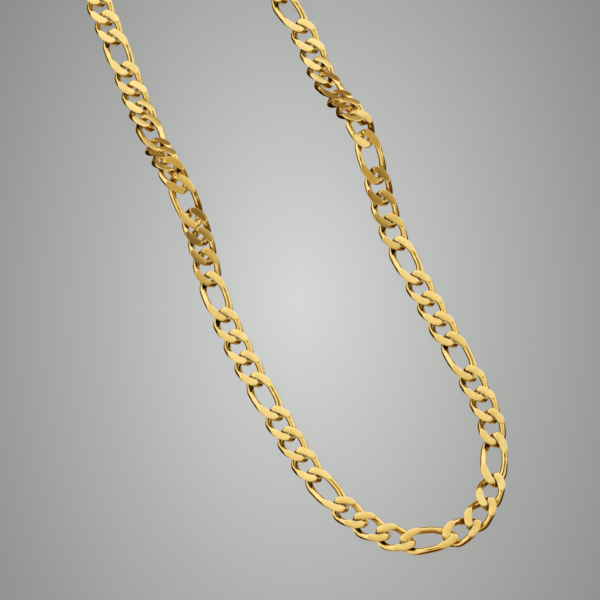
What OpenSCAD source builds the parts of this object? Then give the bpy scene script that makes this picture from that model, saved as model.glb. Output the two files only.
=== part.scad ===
// Neck chain of oval links: three short links, then one long link, over and over.
// Each link is a closed loop of round wire. Its two ends are turned against each other about the
// link's long axis, so that every link lies flat beside its neighbours, and both faces are milled
// flat. The chain lies on a level surface as a closed loop. In each strand a few links are bunched
// up into a low hump, as a slack chain lies.
// Frame: +Z up, the surface at Z = 0, the clasp at the +Y end and the front of the loop at -Y.
// All sizes are in millimetres.

/* [Links] */
// Width of a link over its wire
link_width = 6.15; // [5.95:0.05:6.35]
// Thickness of the milled chain
chain_thickness = 2.0; // [1.9:0.05:2.1]
// Thickness of the round wire along the sides
wire_thickness = 1.34; // [1.3:0.02:1.38]
// How much thicker the wire is at the tips, as a share of its thickness
tip_swell = 0.06; // [0:0.02:0.1]
// Clear length inside a short link
short_inner_length = 6.15; // [6.1:0.05:6.3]
// Clear length inside a long link
long_inner_length = 10; // [9.95:0.05:10.2]
// Angle by which each end of a link is turned out of the link's plane
end_turn = 55; // [50:1:58]
// Squareness of the oval: 2 is an ellipse, more is fuller at the corners
oval_power = 2.6; // [2.4:0.1:2.8]

/* [Clasp] */
// Width of the clasp's body
clasp_width = 5.0; // [4.5:0.1:5.5]
// Height of the clasp's body
clasp_height = 2.6; // [2.4:0.1:3]
// Thickness of the two end rings
ring_thickness = 1.0; // [0.95:0.05:1.1]

/* [Hidden] */
link_count = 72;
half_count = 36;
// Every fourth link is a long one.
pattern_length = 4;
// How soon the turn sets in along a short link and along a long one.
short_turn_power = 1.05;
long_turn_power = 1.4;
// Stations along the wire of a link, and sides of the wire.
stations = 16;
wire_sides = 6;
fine_steps = 160;
// Points between two rows of the route.
route_steps = 12;
gold = [0.90, 0.72, 0.36];

// The route of the chain, from the clasp down one strand and back up the other: for the joint
// between two links its place, the height of the chain's middle, and the roll of the chain.
JOINT = 0;
PLACE_X = 1;
PLACE_Y = 2;
HEIGHT = 3;
ROLL = 4;
route = [
    // joint, x, y, height, roll
    [0, -8.5, 142, 3.1, 0],
    [1, -13.5, 139, 1.2, 0],
    [2, -17, 134.5, 1.1, 0],
    [4, -21, 120, 1, 0],
    [8, -21.5, 94, 1, 0],
    [11, -21.5, 77.7, 1, 0],
    [12, -21.6, 68.7, 1.1, 0],
    [13, -21.7, 63.2, 1.1, -1],
    [14, -21.7, 57.9, 1.3, -7],
    [15, -21.8, 53.0, 2.5, -12],
    [16, -22.0, 45.3, 5.1, -14],
    [17, -21.9, 41.4, 7.1, -12],
    [18, -21.7, 37.2, 8.8, -3],
    [19, -20.8, 33.0, 7.6, 0],
    [20, -20.1, 25.9, 3.8, 7],
    [21, -20.2, 21.5, 2.6, 8],
    [22, -20.7, 16.7, 1.8, 3],
    [23, -21.5, 11.3, 1.1, 0],
    [24, -21.6, 1.6, 1, 0],
    [27, -20.3, -15.9, 1, 0],
    [31, -16.2, -42.3, 1, 0],
    [33, -10.5, -56.0, 1, 0],
    [35, -2.3, -64.3, 1, 0],
    [36, 6.7, -66.2, 1, 0],
    [37, 12.6, -65.0, 1, 0],
    [38, 17.2, -61.4, 1, 0],
    [39, 20.7, -56.5, 1, 0],
    [40, 24.2, -47.7, 1, 0],
    [41, 25.3, -41.9, 1, 0],
    [43, 24.7, -30.7, 1, 0],
    [47, 21.9, -4.4, 1, 0],
    [48, 21.3, 5.1, 1.1, 0],
    [49, 21.3, 11.1, 1.5, -4],
    [50, 21.7, 16.9, 2.4, -7],
    [51, 22.2, 22.0, 4, -6],
    [52, 22.7, 29.8, 7, 0],
    [53, 22.2, 34.4, 9.6, 8],
    [54, 21.2, 38.4, 8.4, 13],
    [55, 20.5, 42.5, 6.3, 14],
    [56, 20.1, 49.9, 2.5, 12],
    [57, 20.2, 54.6, 1.3, 6],
    [58, 20.4, 59.9, 1.1, 0],
    [59, 20.0, 65.6, 1, 0],
    [60, 18.3, 74.9, 1, 0],
    [64, 17.9, 100.5, 1, 0],
    [68, 18.2, 126, 1, 0],
    [69, 18.2, 131.2, 1.1, 0],
    [70, 16.5, 136, 1.1, 0],
    [71, 12.8, 139.8, 1.3, 0],
    [72, 4.6, 142.7, 2.8, 8],
];
last_row = len(route) - 1;

// Length of a vector's running sum: the first value is 0.
function running_sum(values) = [
    for (i = 0, total = 0; i <= len(values); total = total + (i < len(values) ? values[i] : 0), i = i + 1)
        total
];
function unit(v) = v / norm(v);
// A value raised to a power with its sign kept.
function signed_power(value, power) = sign(value) * pow(abs(value), power);
function is_long(link) = link % pattern_length == pattern_length - 1;
function inner_length(long) = long ? long_inner_length : short_inner_length;

// One link, drawn about its own middle, long axis along X.
function half_length(long) = (inner_length(long) + wire_thickness * (1 + tip_swell)) / 2;
half_breadth = (link_width - wire_thickness) / 2;

// Middle of the wire at an angle round the oval; the ends are turned about the long axis.
function wire_middle(long, angle) =
    let (
        x = half_length(long) * signed_power(cos(angle), 2 / oval_power),
        offset = half_breadth * signed_power(sin(angle), 2 / oval_power),
        power = long ? long_turn_power : short_turn_power,
        turn = -end_turn * sign(x) * pow(abs(x) / half_length(long), power)
    )
    [x, offset * cos(turn), offset * sin(turn)];

// Angles that space the stations evenly along the wire.
function even_angles(long) =
    let (
        angles = [for (i = [0 : fine_steps]) 360 * i / fine_steps],
        points = [for (angle = angles) wire_middle(long, angle)],
        along = running_sum([for (i = [1 : fine_steps]) norm(points[i] - points[i - 1])]),
        table = [for (i = [0 : fine_steps]) [along[i], angles[i]]]
    )
    [for (i = [0 : stations - 1]) lookup(along[fine_steps] * i / stations, table)];

// Ring of points round the wire at one station. Its flanks stand square to the wire, and what
// would stand above or below the milled faces is brought down onto them.
function wire_ring(long, angle) =
    let (
        middle = wire_middle(long, angle),
        forward = unit(wire_middle(long, angle + 0.5) - wire_middle(long, angle - 0.5)),
        outward = unit(cross(forward, [0, 0, 1])),
        upward = cross(outward, forward),
        swell = 1 + tip_swell * pow(middle[0] / half_length(long), 2),
        radius = wire_thickness / 2 * swell
    )
    [
        for (side = [0 : wire_sides - 1])
            let (
                turn = 360 * side / wire_sides,
                point = middle + radius * (cos(turn) * outward + sin(turn) * upward)
            )
            [point[0], point[1], max(-chain_thickness / 2, min(chain_thickness / 2, point[2]))]
    ];
function link_points(long) = [for (angle = even_angles(long)) each wire_ring(long, angle)];
short_points = link_points(false);
long_points = link_points(true);

// Two triangles between each pair of neighbouring points of two neighbouring rings.
function ring_index(station, side) = (station % stations) * wire_sides + side % wire_sides;
link_faces = [
    for (station = [0 : stations - 1], side = [0 : wire_sides - 1])
        each [
            [
                ring_index(station, side),
                ring_index(station, side + 1),
                ring_index(station + 1, side + 1),
            ],
            [
                ring_index(station, side),
                ring_index(station + 1, side + 1),
                ring_index(station + 1, side),
            ],
        ]
];

// The route.
// Smooth curve through the rows, closed from the last row back to the first.
function row(i) = route[(i + last_row + 1) % (last_row + 1)];
function row_values(i) = [row(i)[PLACE_X], row(i)[PLACE_Y], row(i)[HEIGHT], row(i)[ROLL]];
function smooth_point(i, u) =
    let (before = row_values(i - 1), start = row_values(i), end = row_values(i + 1), after = row_values(i + 2))
    0.5 * (
        2 * start
        + (end - before) * u
        + (2 * before - 5 * start + 4 * end - after) * u * u
        + (3 * start - before - 3 * end + after) * u * u * u
    );
function place_of(values) = [values[0], values[1], values[2]];
curve = [
    for (i = [0 : last_row - 1], step = [0 : route_steps - 1]) smooth_point(i, step / route_steps),
    row_values(last_row),
];
curve_steps = last_row * route_steps;
along_curve = running_sum([
    for (i = [1 : curve_steps]) norm(place_of(curve[i]) - place_of(curve[i - 1]))
]);
x_table = [for (i = [0 : curve_steps]) [along_curve[i], curve[i][0]]];
y_table = [for (i = [0 : curve_steps]) [along_curve[i], curve[i][1]]];
z_table = [for (i = [0 : curve_steps]) [along_curve[i], curve[i][2]]];
roll_table = [for (i = [0 : curve_steps]) [along_curve[i], curve[i][3]]];

// The joints between two rows share the way between them in step with their links' lengths.
taut_table = running_sum([for (i = [0 : link_count - 1]) inner_length(is_long(i))]);
row_table = [
    for (i = [0 : last_row])
        [taut_table[route[i][JOINT]], along_curve[i * route_steps]]
];
joint_along = [for (joint = [0 : link_count]) lookup(taut_table[joint], row_table)];
joint_places = [
    for (s = joint_along) [lookup(s, x_table), lookup(s, y_table), lookup(s, z_table)]
];
joint_rolls = [for (s = joint_along) lookup(s, roll_table)];

// Axes of a link between its two joints: along it, across it and up.
function link_axes(link) =
    let (
        along = unit(joint_places[link + 1] - joint_places[link]),
        level = unit([0, 0, 1] - along * along[2]),
        across = cross(level, along),
        roll = (joint_rolls[link] + joint_rolls[link + 1]) / 2
    )
    [along, cos(roll) * across + sin(roll) * level, cos(roll) * level - sin(roll) * across];
function placed_link(link) =
    let (
        axes = link_axes(link),
        middle = (joint_places[link] + joint_places[link + 1]) / 2
    )
    [
        for (point = is_long(link) ? long_points : short_points)
            middle + axes[0] * point[0] + axes[1] * point[1] + axes[2] * point[2]
    ];
placed_links = [for (link = [0 : link_count - 1]) placed_link(link)];

// The clasp, along X between the two ends of the chain.
clasp_start = joint_places[link_count];
clasp_end = joint_places[0];
clasp_span = norm(clasp_end - clasp_start);
clasp_middle = (clasp_start + clasp_end) / 2;
clasp_turn = atan2(clasp_end[1] - clasp_start[1], clasp_end[0] - clasp_start[0]);
// The end rings stand upright, and the chain's end links pass through them.
ring_outer = 3.1;
ring_middle = ring_outer - ring_thickness / 2;
ring_inset = 1.1;
// The body ends short of the wire that passes through each ring.
body_length = clasp_span - 4.2;
// How far the body reaches past its middle towards +Y.
body_reach = clasp_width / 2 + (body_length - clasp_width) / 2 * abs(sin(clasp_turn));

// The origin is under the middle of the loop, on the surface.
all_points = [for (points = placed_links) each points];
x_values = [for (point = all_points) point[0]];
y_values = [for (point = all_points) point[1]];
z_values = [for (point = all_points) point[2]];
origin = [
    (min(x_values) + max(x_values)) / 2,
    (min(y_values) + max(max(y_values), clasp_middle[1] + body_reach)) / 2,
    min(z_values)
];

module clasp_ring(side) {
    translate([side * (clasp_span / 2 - ring_inset), 0, ring_outer])
        rotate([90, 0, 0])
            rotate_extrude($fn = 48)
                translate([ring_middle, 0])
                    circle(d = ring_thickness, $fn = 24);
}

module clasp_body() {
    hull()
        for (side = [-1, 1])
            translate([side * (body_length - clasp_width) / 2, 0, 0])
                cylinder(d = clasp_width, h = clasp_height, $fn = 64);
}

module clasp() {
    color(gold)
        translate([clasp_middle[0] - origin[0], clasp_middle[1] - origin[1], 0])
            rotate([0, 0, clasp_turn])
                union() {
                    clasp_body();
                    clasp_ring(-1);
                    clasp_ring(1);
                }
}

module chain_part(first, last) {
    for (link = [first : last])
        polyhedron(points = [for (point = placed_links[link]) point - origin], faces = link_faces);
}

module chain_left() {
    color(gold) chain_part(0, half_count - 1);
}

module chain_right() {
    color(gold) chain_part(half_count, link_count - 1);
}

chain_left();
chain_right();
clasp();
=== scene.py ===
import math

import bpy
import numpy as np
from mathutils import Matrix, Vector


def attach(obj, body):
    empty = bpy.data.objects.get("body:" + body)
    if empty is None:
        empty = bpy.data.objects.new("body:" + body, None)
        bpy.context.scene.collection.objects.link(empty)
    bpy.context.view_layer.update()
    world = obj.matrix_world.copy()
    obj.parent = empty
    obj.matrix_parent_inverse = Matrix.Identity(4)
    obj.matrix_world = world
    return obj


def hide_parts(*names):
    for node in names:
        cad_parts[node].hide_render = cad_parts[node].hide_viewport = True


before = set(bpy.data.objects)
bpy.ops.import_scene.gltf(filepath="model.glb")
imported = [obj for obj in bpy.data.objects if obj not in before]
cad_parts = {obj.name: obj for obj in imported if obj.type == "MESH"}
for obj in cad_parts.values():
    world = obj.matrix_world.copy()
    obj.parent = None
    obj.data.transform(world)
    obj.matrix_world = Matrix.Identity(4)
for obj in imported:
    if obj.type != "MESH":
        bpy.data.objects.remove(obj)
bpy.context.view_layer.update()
print("frame loaded")


def hexLinear(code):
    # one sRGB hex colour to linear light, with an alpha of 1
    parts = [int(code[i:i + 2], 16) / 255 for i in (1, 3, 5)]
    return [c / 12.92 if c <= 0.04045 else ((c + 0.055) / 1.055) ** 2.4 for c in parts] + [1.0]


def addNode(tree, kind, settings=None, inputs=None):
    # adds one node, sets its properties, and fills or links its inputs
    node = tree.nodes.new(kind)
    for name, value in (settings or {}).items():
        setattr(node, name, value)
    for key, value in (inputs or {}).items():
        if isinstance(value, bpy.types.NodeSocket):
            tree.links.new(value, node.inputs[key])
        else:
            node.inputs[key].default_value = value
    return node


def fillRamp(node, stops):
    # gives a colour ramp its stops: place, sRGB hex
    elements = node.color_ramp.elements
    while len(elements) < len(stops):
        elements.new(0.5)
    for element, (place, colour) in zip(elements, stops):
        element.position = place
        element.color = hexLinear(colour)


def newMaterial(name):
    material = bpy.data.materials.new(name)
    material.use_nodes = True
    material.node_tree.nodes.clear()
    return material


def meshObject(name, points, faces, attributes=None):
    # points (n, 3) in metres, faces (m, 4); attributes are one number a point
    mesh = bpy.data.meshes.new(name)
    mesh.vertices.add(len(points))
    mesh.vertices.foreach_set("co", np.ascontiguousarray(points, dtype=np.float32).ravel())
    mesh.loops.add(faces.size)
    mesh.loops.foreach_set("vertex_index", faces.astype(np.int32).ravel())
    mesh.polygons.add(len(faces))
    mesh.polygons.foreach_set("loop_start", np.arange(len(faces), dtype=np.int32) * faces.shape[1])
    mesh.update(calc_edges=True)
    mesh.polygons.foreach_set("use_smooth", np.ones(len(faces), dtype=bool))
    for key, values in (attributes or {}).items():
        layer = mesh.attributes.new(key, "FLOAT", "POINT")
        layer.data.foreach_set("value", np.ascontiguousarray(values, dtype=np.float32))
    mesh.validate()
    thing = bpy.data.objects.new(name, mesh)
    bpy.context.scene.collection.objects.link(thing)
    return thing


def gridFaces(rows, columns, loops=1):
    # quads of a grid closed both ways, repeated for each copy
    r, c = np.meshgrid(np.arange(rows), np.arange(columns), indexing="ij")
    a = r * columns + c
    b = r * columns + (c + 1) % columns
    d = (r + 1) % rows * columns + c
    e = (r + 1) % rows * columns + (c + 1) % columns
    one = np.stack([a, d, e, b], -1).reshape(-1, 4)
    return (one[None] + (np.arange(loops) * rows * columns)[:, None, None]).reshape(-1, 4)


linkForm = {
    "width": 6.15,           # mm over the wire
    "thickness": 2.0,        # mm between the milled faces
    "wire": 1.46,            # mm
    "tipSwell": 0.06,        # share by which the tips are thicker
    "inner": (6.1, 9.95),    # mm inside a short and a long link
    "longFrom": 10.5,        # mm, the outer length from which a link counts as a long one
    "endTurn": 55.0,         # degrees by which the ends are turned out of the plane
    "turnPower": (1.05, 1.4),    # how late that turn comes, on short and on long links
    "ovalPower": 2.6,        # 2 is an ellipse, more is squarer
    "spread": 0.12,          # how much wider the wire is where its faces were pressed and milled
    "spreadDepth": 0.8,      # share of the wire's radius milled away at which it is that wide
    "crown": 0.03,           # mm, how much lower a face is at its rims than in its middle
    "stations": 104,         # points along the wire
    "sides": 26,             # points round it
    "facetSides": 7,         # of the sides, those over each milled face
    "leastFace": 1.26,       # radians above the side where the points over a face start at the latest
    "rim": 0.035,            # mm, how softly tumbling has rounded the rims of the faces
    "tilt": 1.0,             # degrees by which each link lies off its place
    "paintedShadeReach": 0.95,    # mm between two links below which shade is painted onto the wire
}


def linkPlaces(node):
    # Each loose loop of the node's mesh is one link. Its middle is the mean of its corners, and its axes are the
    # principal axes of those corners: the longest along the link, the next across it, the last square to its faces.
    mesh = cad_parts[node].data
    points = np.empty(len(mesh.vertices) * 3)
    mesh.vertices.foreach_get("co", points)
    points, same = np.unique(np.round(points.reshape(-1, 3), 7), axis=0, return_inverse=True)
    ends = np.empty(len(mesh.edges) * 2, dtype=np.int64)
    mesh.edges.foreach_get("vertices", ends)
    a, b = same.ravel()[ends.reshape(-1, 2)].T
    label = np.arange(len(points))
    while True:  # spreads the least label along the edges until nothing changes
        before = label.copy()
        np.minimum.at(label, a, label[b])
        np.minimum.at(label, b, label[a])
        label = label[label]
        if np.array_equal(label, before):
            break
    places = []
    for name in np.unique(label):
        corners = points[label == name]
        middle = corners.mean(0)
        spread, axes = np.linalg.eigh(np.cov((corners - middle).T))
        along, across, up = axes[:, 2], axes[:, 1], axes[:, 0]
        up = up * np.sign(up[2])
        across = across * np.sign(np.cross(up, along) @ across)
        reach = (corners - middle) @ along
        places.append({"middle": middle, "axes": np.stack([along, across, up], 1),
                       "long": np.ptp(reach) > linkForm["longFrom"] / 1000})
    return sorted(places, key=lambda p: -p["middle"][1])


def signedPower(value, power):
    return np.sign(value) * np.abs(value) ** power


def wireMiddle(t, long):
    # Superellipse in the link's plane, whose points are then turned about the long axis, the more the nearer the tip.
    f = linkForm
    half = (f["inner"][long] + f["wire"] * (1 + f["tipSwell"])) / 2
    side = (f["width"] - f["wire"]) / 2
    x = half * signedPower(np.cos(t), 2 / f["ovalPower"])
    y = side * signedPower(np.sin(t), 2 / f["ovalPower"])
    turn = -np.radians(f["endTurn"]) * np.sign(x) * np.abs(x / half) ** f["turnPower"][long]
    return np.stack([x, y * np.cos(turn), y * np.sin(turn)], -1), half


def linkGrid(long):
    # The wire's round section is carried along that line. Over each face some of its points are spaced between the
    # two places where the section meets the milled plane, and brought straight down onto it.
    f = linkForm
    fine = np.linspace(0, 2 * np.pi, 6001)
    line, half = wireMiddle(fine, long)
    along = np.r_[0, np.cumsum(np.linalg.norm(np.diff(line, axis=0), axis=1))]
    t = np.interp(np.arange(f["stations"]) / f["stations"] * along[-1], along, fine)
    middle, half = wireMiddle(t, long)
    forward = wireMiddle(t + 0.002, long)[0] - wireMiddle(t - 0.002, long)[0]
    forward /= np.linalg.norm(forward, axis=1)[:, None]
    out = np.cross(forward, [0, 0, 1.0])
    out /= np.linalg.norm(out, axis=1)[:, None]
    up = np.cross(out, forward)
    radius = f["wire"] / 2 * (1 + f["tipSwell"] * (middle[:, 0] / half) ** 2)
    top = f["thickness"] / 2

    def planeAngle(side):
        # angle above the outward direction at which the section meets the face on that side, kept so far from the
        # top that the points over the face never fall together where the wire is still round
        height = (top - side * middle[:, 2]) / (radius * up[:, 2])
        return np.minimum(np.arcsin(np.clip(height, 0.0, 1.0)), f["leastFace"])

    upper, lower = planeAngle(1), planeAngle(-1)
    n = f["facetSides"]
    flank = (f["sides"] - 2 * n) // 2
    ramp = 0.5 - 0.5 * np.cos(np.pi * np.arange(n)[None] / (n - 1))  # closer together at the rims
    wall = 0.5 - 0.5 * np.cos(np.pi * (np.arange(flank)[None] + 0.7) / (flank + 0.4))
    angle = np.concatenate([
        upper[:, None] + ramp * (np.pi - 2 * upper[:, None]),
        (np.pi - upper[:, None]) + wall * (upper[:, None] + lower[:, None]),
        (np.pi + lower[:, None]) + ramp * (np.pi - 2 * lower[:, None]),
        (2 * np.pi - lower[:, None]) + wall * (upper[:, None] + lower[:, None]),
    ], 1)
    depth = np.clip((np.abs(middle[:, 2]) + radius - top) / (f["spreadDepth"] * radius), 0, 1)
    wide = radius * (1 + f["spread"] * depth ** 2 * (3 - 2 * depth))
    points = (middle[:, None] + (np.cos(angle) * wide[:, None])[..., None] * out[:, None]
              + (np.sin(angle) * radius[:, None])[..., None] * up[:, None])
    # A soft clip at both faces: the logarithm of a sum of exponentials follows the smaller height and rounds the rim.
    # The faces are lower towards their rims, as the square of the way across.
    rim = f["rim"]
    across = np.clip(np.cos(angle), -1, 1) ** 2
    limit = top - f["crown"] * across
    high = -rim * np.logaddexp(-points[..., 2] / rim, -limit / rim)
    points[..., 2] = rim * np.logaddexp(high / rim, -limit / rim)
    facet = np.zeros(angle.shape)
    facet[:, :n] = (upper < f["leastFace"])[:, None]
    facet[:, n + flank:2 * n + flank] = (lower < f["leastFace"])[:, None]
    return points, facet


def crevice(points, neighbours, reach):
    # Share of painted shade: 1 where a point touches a neighbouring link's wire and 0 from reach on: its least
    # distance to the rings' middles of those links, less the wire's radius, eased.
    lines = np.concatenate(neighbours)
    squares = (points ** 2).sum(1)[:, None] + (lines ** 2).sum(1)[None] - 2 * points @ lines.T
    gap = np.sqrt(np.maximum(squares.min(1), 0)) - linkForm["wire"] / 2000
    near = np.clip(1 - gap / reach, 0, 1)
    return near * near * (3 - 2 * near)


def chainPiece(name, node, seed):
    chance = np.random.default_rng(seed)
    grids = [linkGrid(0), linkGrid(1)]
    places = linkPlaces(node)
    f = linkForm
    solids = []
    for place in places:
        grid = grids[int(place["long"])][0]
        a, b, c = np.radians(chance.normal(0, f["tilt"], 3)) * (1, 1, 0.6)
        turn = np.array([[1, -c, b], [c, 1, -a], [-b, a, 1]])  # small turns about the link's axes, least in its plane
        solids.append((grid / 1000) @ turn.T @ place["axes"].T + place["middle"])
    middles = [solid.mean(1) for solid in solids]
    facets, paintedShades = [], []
    for i, (place, solid) in enumerate(zip(places, solids)):
        facet = grids[int(place["long"])][1]
        beside = [middles[k] for k in (i - 1, i + 1) if 0 <= k < len(places)]
        facets.append(facet.ravel())
        # painted shade between neighbouring links, weaker on the milled faces
        paintedShades.append(crevice(solid.reshape(-1, 3), beside, f["paintedShadeReach"] / 1000) * (1 - 0.7 * facet.ravel()))
    piece = meshObject(name, np.concatenate(solids).reshape(-1, 3), gridFaces(f["stations"], f["sides"], len(places)),
                       {"facet": np.concatenate(facets), "paintedShade": np.concatenate(paintedShades)})
    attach(piece, "root")
    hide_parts(node)
    print(name, len(places), "links,", sum(p["long"] for p in places), "of them long")
    return piece


claspForm = {
    "width": 5.0,            # mm, the body
    "height": 2.6,
    "rim": 0.6,              # mm, how far its edges are rounded over
    "crown": 0.12,           # mm by which its top is higher in the middle
    "step": 0.1,             # mm between the points of its outline
    "core": 0.12,            # mm, half width of the strip that closes its top and its underside
    "profileSteps": 8,       # points of the profile on each flat and each rounded edge
    "seam": (0.0, 0.3, 0.17),    # mm: place along the body, half width and depth of the groove where its halves meet
    "band": (3.1, 0.096, 0.07),  # mm, the same of one turned band on each side
    "ringWire": 1.0,         # mm
    "ringOuter": 3.1,        # mm, outer radius of the end rings
    "ringPast": 2.0,         # mm from an end joint to the outside of its ring
    "bodyShort": 2.1,        # mm from an end joint back to the end of the body
    "ringStations": 72,
    "ringSides": 24,
}


def claspPlace():
    # Middle, half length and direction of the CAD clasp, from the principal axis of its corners seen from above.
    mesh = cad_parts["clasp"].data
    points = np.empty(len(mesh.vertices) * 3)
    mesh.vertices.foreach_get("co", points)
    points = np.unique(np.round(points.reshape(-1, 3), 7), axis=0)
    spread, axes = np.linalg.eigh(np.cov(points[:, :2].T))
    along = axes[:, 1] * np.sign(axes[0, 1])
    across = np.array([-along[1], along[0]])
    reach, side = points[:, :2] @ along, points[:, :2] @ across
    half = np.ptp(reach) / 2
    middle = along * (reach.min() + half) + across * (side.min() + np.ptp(side) / 2)
    return middle, half, along, across


def claspBody(half):
    # A flat bar with round ends. Its profile runs from the middle of the underside out, up and back to the middle of
    # the top, and is carried round an outline that shrinks by the profile's inset. Both ends of the profile are closed
    # with strips between the two long sides. Grooves are bells of the distance along the bar.
    f = claspForm
    radius, straight = f["width"] / 2, half - f["width"] / 2
    count = int(round(2 * straight / f["step"]))
    bend = int(round(np.pi * radius / f["step"] / 2)) * 2
    line = (np.arange(count) + 0.5) / count
    turn = (np.arange(bend) + 0.5) / bend * np.pi
    angle = np.concatenate([turn[bend // 2:] - np.pi / 2, np.full(count, np.pi / 2), turn + np.pi / 2,
                            np.full(count, 1.5 * np.pi), turn[:bend // 2] + 1.5 * np.pi])
    centre = np.concatenate([np.full(bend // 2, straight), straight - 2 * straight * line, np.full(bend, -straight),
                             2 * straight * line - straight, np.full(bend // 2, straight)])
    quarter = np.linspace(0, np.pi / 2, f["profileSteps"])
    flat = np.linspace(radius - f["core"], f["rim"], f["profileSteps"])[:-1]
    top = f["height"] - f["crown"]
    rimHigh = top - f["rim"] * (1 - np.sin(quarter))
    insets = np.concatenate([flat, f["rim"] * (1 - np.sin(quarter)), f["rim"] * (1 - np.cos(quarter)), flat[::-1]])
    heights = np.concatenate([np.zeros(len(flat)), f["rim"] * (1 - np.cos(quarter)), rimHigh,
                              top + f["crown"] * (1 - ((radius - flat[::-1]) / (radius - f["rim"])) ** 2)])
    out = radius - insets[:, None]
    x = centre + out * np.cos(angle)
    y = out * np.sin(angle)
    z = np.broadcast_to(heights[:, None], x.shape)
    depth = np.zeros(x.shape)
    bandPlace, bandWidth, bandDepth = f["band"]
    for place, width, deep in (f["seam"], f["band"], (-bandPlace, bandWidth, bandDepth)):
        depth = np.maximum(depth, deep * np.exp(-((x - place) / width) ** 4))
    y = y * (1 - depth / radius)
    z = z - depth * (2 * z / f["height"] - 1)
    rows, columns = x.shape
    walls = gridFaces(rows, columns).reshape(rows, columns, 4)[:-1].reshape(-1, 4)
    i = np.arange(columns // 2 - 1)
    strip = np.stack([i, i + 1, columns - 2 - i, columns - 1 - i], -1)
    faces = np.concatenate([walls, strip, strip[:, ::-1] + (rows - 1) * columns])
    return np.stack([x, y, z], -1).reshape(-1, 3), faces[:, ::-1]


def claspRing(centre):
    # An upright ring that stands on the surface: a small circle carried round a larger one.
    f = claspForm
    wire = f["ringWire"] / 2
    u, v = np.meshgrid(np.arange(f["ringStations"]) / f["ringStations"] * 2 * np.pi,
                       np.arange(f["ringSides"]) / f["ringSides"] * 2 * np.pi, indexing="ij")
    reach = f["ringOuter"] - wire + wire * np.cos(v)
    points = np.stack([centre + reach * np.cos(u), wire * np.sin(v), f["ringOuter"] + reach * np.sin(u)], -1)
    return points.reshape(-1, 3), gridFaces(f["ringStations"], f["ringSides"])[:, ::-1]


def claspPiece():
    f = claspForm
    middle, half, along, across = claspPlace()
    half *= 1000  # from metres to mm, as the form is
    joint = half - f["ringPast"]
    parts = [claspBody(joint - f["bodyShort"])]
    parts += [claspRing(side * (half - f["ringOuter"])) for side in (-1, 1)]
    starts = np.cumsum([0] + [len(points) for points, faces in parts])
    points = np.concatenate([points for points, faces in parts]) / 1000
    faces = np.concatenate([faces + start for (ignored, faces), start in zip(parts, starts)])
    world = np.empty(points.shape)
    world[:, :2] = middle + points[:, :1] * along + points[:, 1:2] * across
    world[:, 2] = points[:, 2]
    piece = meshObject("clasp_closed", world, faces)
    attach(piece, "root")
    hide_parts("clasp")
    print("clasp", round(2 * half, 2), "mm over its rings")
    return piece


goldLook = {
    "gold": "#FFE79B",        # plated yellow gold, pale
    "goldDeep": "#FDDE90",    # where the plating looks warmer
    "paintedShadeColour": "#451F02",     # painted shade between the links, where each link lies in its neighbours' shadow
    "roughnessWire": 0.13,
    "roughnessFacet": 0.24,
    "cloud": 2.2,             # mm, patches in which the plating is warmer and duller
    "unevenness": 0.1,        # how much the roughness changes over those patches
    "ripple": 0.9,            # mm, waves left by hand polishing
    "rippleDepth": 0.04,      # mm
    "rippleStrength": 0.12,
    "grain": 0.16,            # mm, milling marks; really about 0.04 mm, drawn coarser so that they show
    "grainDepth": 0.01,       # mm
    "grainStrength": 0.03,
}


def platedGold():
    # Brass link wire, gold plated and tumbled bright, with both faces milled. The wire shows clear streaks of the
    # studio, the milled faces a softer, slightly uneven sheen. Shade is painted into its colour between the links.
    look = goldLook
    material = newMaterial("PlatedGoldTumbled")
    tree = material.node_tree
    place = addNode(tree, "ShaderNodeTexCoord")
    facet = addNode(tree, "ShaderNodeAttribute", {"attribute_name": "facet"})
    cloud = addNode(tree, "ShaderNodeTexNoise", None,
                    {"Vector": place.outputs["Object"], "Scale": 1000 / look["cloud"], "Detail": 3.0,
                     "Roughness": 0.6})
    ripple = addNode(tree, "ShaderNodeTexNoise", None,
                     {"Vector": place.outputs["Object"], "Scale": 1000 / look["ripple"], "Detail": 1.0})
    grain = addNode(tree, "ShaderNodeTexNoise", None,
                    {"Vector": place.outputs["Object"], "Scale": 1000 / look["grain"], "Detail": 2.0})
    warm = addNode(tree, "ShaderNodeMapRange", None,
                   {"Value": cloud.outputs["Fac"], "From Min": 0.35, "From Max": 0.7})
    tone = addNode(tree, "ShaderNodeMix", {"data_type": "RGBA"},
                   {"Factor": warm.outputs["Result"], "A": hexLinear(look["gold"]), "B": hexLinear(look["goldDeep"])})
    # painted shade between the links, mixed into the gold's colour
    paintedShade = addNode(tree, "ShaderNodeAttribute", {"attribute_name": "paintedShade"})
    dark = addNode(tree, "ShaderNodeMix", {"data_type": "RGBA"},
                   {"Factor": paintedShade.outputs["Fac"], "A": tone.outputs["Result"], "B": hexLinear(look["paintedShadeColour"])})
    rough = addNode(tree, "ShaderNodeMapRange", None,
                    {"Value": facet.outputs["Fac"], "To Min": look["roughnessWire"],
                     "To Max": look["roughnessFacet"]})
    uneven = addNode(tree, "ShaderNodeMath", {"operation": "MULTIPLY_ADD"},
                     {0: cloud.outputs["Fac"], 1: look["unevenness"], 2: rough.outputs["Result"]})
    level = addNode(tree, "ShaderNodeMath", {"operation": "SUBTRACT"},
                    {0: uneven.outputs[0], 1: look["unevenness"] / 2})
    waves = addNode(tree, "ShaderNodeBump", None,
                    {"Strength": look["rippleStrength"], "Distance": look["rippleDepth"] / 1000,
                     "Height": ripple.outputs["Fac"]})
    marks = addNode(tree, "ShaderNodeBump", None,
                    {"Strength": look["grainStrength"], "Distance": look["grainDepth"] / 1000,
                     "Height": grain.outputs["Fac"], "Normal": waves.outputs["Normal"]})
    shader = addNode(tree, "ShaderNodeBsdfPrincipled", None,
                     {"Base Color": dark.outputs["Result"], "Metallic": 1.0, "Roughness": level.outputs[0],
                      "Normal": marks.outputs["Normal"]})
    addNode(tree, "ShaderNodeOutputMaterial", None, {"Surface": shader.outputs[0]})
    return material


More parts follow.
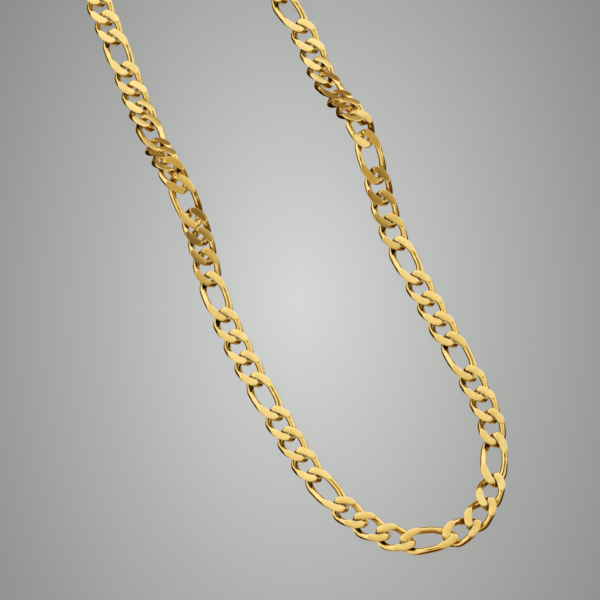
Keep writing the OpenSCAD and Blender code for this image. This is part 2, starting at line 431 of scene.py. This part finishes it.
gold = platedGold()
chainLeft = chainPiece("links_left", "chain_left", 11)
chainRight = chainPiece("links_right", "chain_right", 12)
claspClosed = claspPiece()
for piece in (chainLeft, chainRight, claspClosed):
    piece.data.materials.append(gold)
print("chain made")


cameraPlace = {
    "target": (-5.67, -38.11, 0.04),   # mm, what the middle of the picture shows on the surface
    "heading": 20.0,                # degrees from +Y towards +X
    "elevation": 63.0,              # degrees above the horizon
    "distance": 1090.0,             # mm
    "lens": 292.4,                  # mm on a 36 mm sensor
}


def addCamera():
    c = cameraPlace
    heading, rise = math.radians(c["heading"]), math.radians(c["elevation"])
    look = Vector((math.sin(heading) * math.cos(rise), math.cos(heading) * math.cos(rise), -math.sin(rise)))
    right = Vector((math.cos(heading), -math.sin(heading), 0))
    up = right.cross(look)
    data = bpy.data.cameras.new("camera")
    data.sensor_width = 36  # mm
    data.lens = c["lens"]
    data.clip_start, data.clip_end = 0.01, 50
    camera = bpy.data.objects.new("camera", data)
    bpy.context.scene.collection.objects.link(camera)
    place = Vector(c["target"]) / 1000 - look * c["distance"] / 1000
    camera.matrix_world = Matrix.Translation(place) @ Matrix((right, up, -look)).transposed().to_4x4()
    bpy.context.scene.camera = camera


addCamera()


floorLook = {
    # greys of the painted pool of light from the middle outwards, one for each step; the last two lie outside the
    # picture
    "greys": ["#D3D6D5", "#BFC2C1", "#AAACAB", "#949796", "#7F8180", "#767877", "#727473"],
    "step": 22.37,         # mm
    "stretch": 1.685,      # how much longer the painted pool of light is away from the camera
    "ownColour": "#3A3B3B",
    "paintedGlow": 0.983,         # painted glow: the table gives off its own light, so hardly any shadow shows on it
}
studio = {
    "base": 0.85,
    # direction the light comes from, inner and outer half angle in degrees, level
    "lobes": [
        ((0.00, 0.00, -1.00), 40, 76, 0.36),     # the table and the floor of the room
        ((0.16, 0.78, 0.60), 28, 54, 1.0),       # large softbox behind the chain
        ((0.93, 0.13, 0.34), 24, 40, 0.97),      # white cards on both sides
        ((-0.72, 0.45, 0.55), 16, 34, 1.0),
        ((0.47, 0.88, -0.09), 14, 34, 0.36),     # the dark foot of the softbox
        ((0.26, 0.96, 0.09), 10, 24, 0.20),
        ((-0.18, 0.86, -0.47), 10, 24, 0.08),
        ((0.16, -0.25, 0.955), 10, 46, 0.45),    # dim ceiling above the camera
        ((-0.24, 0.02, 0.97), 7, 17, 0.05),
        ((0.40, -0.51, 0.77), 8, 20, 0.95),      # a small window
        ((0.10, -0.97, -0.10), 32, 60, 0.08),    # the room behind the camera
        ((0.88, -0.47, -0.04), 17, 30, 0.03),
        ((0.75, -0.43, -0.50), 14, 34, 0.06),
        ((-0.62, 0.32, -0.70), 29, 43, 0.01),    # a dark card low on the left
    ],
    # the dimmer a part of the room, the warmer it is: level, colour
    "tints": [(0.0, "#000000"), (0.08, "#5E3A08"), (0.2, "#8C6A2E"), (0.45, "#BAA468"), (0.75, "#DFD1A8"),
              (1.0, "#FFFFFF")],
    "strength": 1.05,
}


def addWorld():
    world = bpy.data.worlds.new("studio")
    bpy.context.scene.world = world
    world.use_nodes = True
    tree = world.node_tree
    tree.nodes.clear()
    place = addNode(tree, "ShaderNodeTexCoord")
    level = addNode(tree, "ShaderNodeMix", {"data_type": "FLOAT"}, {"Factor": 0.0, "A": studio["base"]})
    for axis, inner, outer, strength in studio["lobes"]:
        near = addNode(tree, "ShaderNodeVectorMath", {"operation": "DOT_PRODUCT"},
                       {0: place.outputs["Generated"], 1: Vector(axis).normalized()})
        share = addNode(tree, "ShaderNodeMapRange", {"interpolation_type": "SMOOTHSTEP"},
                        {"Value": near.outputs["Value"], "From Min": math.cos(math.radians(outer)),
                         "From Max": math.cos(math.radians(inner))})
        level = addNode(tree, "ShaderNodeMix", {"data_type": "FLOAT"},
                        {"Factor": share.outputs["Result"], "A": level.outputs["Result"], "B": strength})
    tint = addNode(tree, "ShaderNodeValToRGB", None, {"Fac": level.outputs["Result"]})
    fillRamp(tint, studio["tints"])
    light = addNode(tree, "ShaderNodeBackground", None,
                    {"Color": tint.outputs["Color"], "Strength": studio["strength"]})
    addNode(tree, "ShaderNodeOutputWorld", None, {"Surface": light.outputs[0]})


def addFloor():
    # one level plate that glows with a painted pool of light, whose grey falls off round the middle of the picture
    half = 4.0
    points = np.array([[-half, -half, 0], [half, -half, 0], [half, half, 0], [-half, half, 0]])
    floor = meshObject("floor", points - [0, 0, 0.00002], np.array([[0, 1, 2, 3]]))
    material = newMaterial("PaleTablePaintedLight")
    tree = material.node_tree
    place = addNode(tree, "ShaderNodeTexCoord")
    f = floorLook
    # the painted pool of light lies round what the camera aims at, long axis away from the camera
    pool = addNode(tree, "ShaderNodeMapping", {"vector_type": "TEXTURE"},
                   {"Vector": place.outputs["Object"], "Location": Vector(cameraPlace["target"]) / 1000,
                    "Rotation": (0, 0, -math.radians(cameraPlace["heading"])), "Scale": (1, f["stretch"], 1)})
    reach = addNode(tree, "ShaderNodeVectorMath", {"operation": "LENGTH"}, {0: pool.outputs[0]})
    steps = len(f["greys"]) - 1
    share = addNode(tree, "ShaderNodeMapRange", None,
                    {"Value": reach.outputs["Value"], "From Max": f["step"] * steps / 1000})
    ramp = addNode(tree, "ShaderNodeValToRGB", None, {"Fac": share.outputs["Result"]})
    fillRamp(ramp, [(i / steps, grey) for i, grey in enumerate(f["greys"])])
    # the painted pool of light is the plate's own glow, not a lamp
    shader = addNode(tree, "ShaderNodeBsdfPrincipled", None,
                     {"Base Color": hexLinear(f["ownColour"]), "Roughness": 0.9, "Specular IOR Level": 0.0,
                      "Emission Color": ramp.outputs["Color"], "Emission Strength": f["paintedGlow"]})
    addNode(tree, "ShaderNodeOutputMaterial", None, {"Surface": shader.outputs[0]})
    floor.data.materials.append(material)
    floor.visible_glossy = False


addWorld()
addFloor()
bpy.context.scene.view_settings.view_transform = "Standard"
print("studio made")
